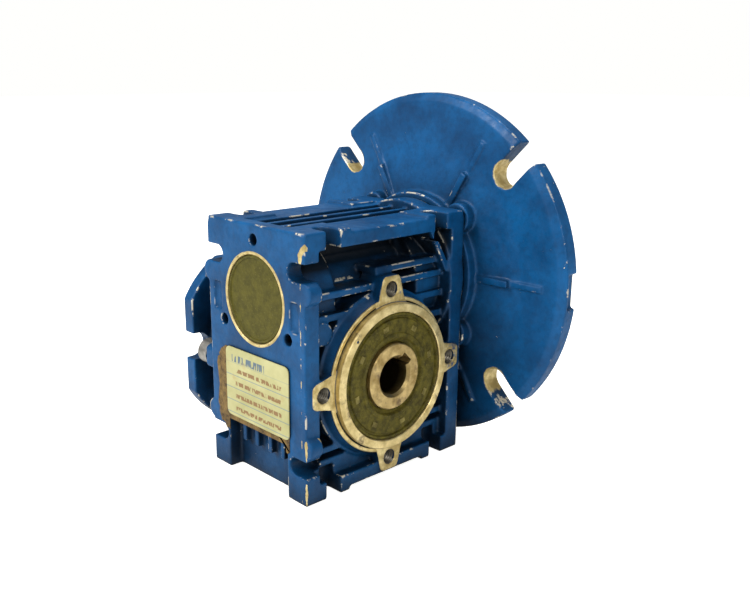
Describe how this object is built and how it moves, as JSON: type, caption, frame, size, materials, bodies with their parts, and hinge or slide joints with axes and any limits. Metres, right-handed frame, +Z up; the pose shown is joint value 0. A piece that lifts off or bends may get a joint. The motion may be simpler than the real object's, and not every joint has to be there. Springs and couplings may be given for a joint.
{
  "type": "worm gearbox",
  "caption": "Small right-angle worm gearbox with a hollow output shaft, a round motor flange, a flat-sided output flange and slotted feet.",
  "frame": {"origin": "middle of the bounding box at the plane of the feet", "axes": "+X along the hollow output shaft, away from the output flange; +Y along the worm, towards the motor; +Z up"},
  "size_m": [0.14, 0.0958, 0.14],
  "materials": {
    "blue_paint": "worn satin paint on cast aluminium",
    "seal_rubber": "aged brown",
    "label_foil": "printed cream",
    "wheel_bronze": "machined bronze",
    "shaft_steel": "ground",
    "bearing_steel": "polished",
    "screw_steel": "zinc plated"
  },
  "bodies": {
    "housing": {"housing": "blue_paint", "side_cover": "blue_paint", "output_flange": "blue_paint", "motor_flange": "blue_paint", "end_cap": "seal_rubber", "cap_circlip": "shaft_steel", "nameplate": "label_foil", "near_output_seal": "seal_rubber", "far_output_seal": "seal_rubber", "motor_seal": "seal_rubber", "near_output_outer_race": "bearing_steel", "far_output_outer_race": "bearing_steel", "cap_worm_outer_race": "bearing_steel", "motor_worm_outer_race": "bearing_steel", "cover_screw_1": "screw_steel", "cover_screw_2": "screw_steel", "cover_screw_3": "screw_steel", "cover_screw_4": "screw_steel", "motor_flange_screw_1": "screw_steel", "motor_flange_screw_2": "screw_steel", "motor_flange_screw_3": "screw_steel", "motor_flange_screw_4": "screw_steel", "output_flange_bolt_1": "screw_steel", "output_flange_bolt_2": "screw_steel", "output_flange_bolt_3": "screw_steel", "output_flange_bolt_4": "screw_steel"},
    "output": {"output_shaft": "shaft_steel", "wheel_rim": "wheel_bronze", "near_output_inner_race": "bearing_steel", "far_output_inner_race": "bearing_steel"},
    "worm": {"worm_shaft": "shaft_steel", "cap_worm_inner_race": "bearing_steel", "motor_worm_inner_race": "bearing_steel", "cap_worm_ball_set": "bearing_steel", "motor_worm_ball_set": "bearing_steel"},
    "near_output_balls": {"near_output_ball_set": "bearing_steel"},
    "far_output_balls": {"far_output_ball_set": "bearing_steel"}
  },
  "joints": [
    {"name": "output_spin", "type": "hinge", "parent": "housing", "child": "output", "pos_m": [0, -0.00715, 0.04], "axis": [1, 0, 0], "continuous": true},
    {"name": "worm_spin", "type": "hinge", "parent": "housing", "child": "worm", "pos_m": [0, -0.00715, 0.07], "axis": [0, 1, 0], "continuous": true},
    {"name": "near_output_balls_spin", "type": "hinge", "parent": "housing", "child": "near_output_balls", "pos_m": [0.0173, -0.00715, 0.04], "axis": [1, 0, 0], "continuous": true},
    {"name": "far_output_balls_spin", "type": "hinge", "parent": "housing", "child": "far_output_balls", "pos_m": [-0.0173, -0.00715, 0.04], "axis": [1, 0, 0], "continuous": true}
  ],
  "couplings": [
    {"joint": "worm_spin", "follows": "output_spin", "ratio": 30},
    {"joint": "near_output_balls_spin", "follows": "output_spin", "ratio": 0.41},
    {"joint": "far_output_balls_spin", "follows": "output_spin", "ratio": 0.41}
  ]
}
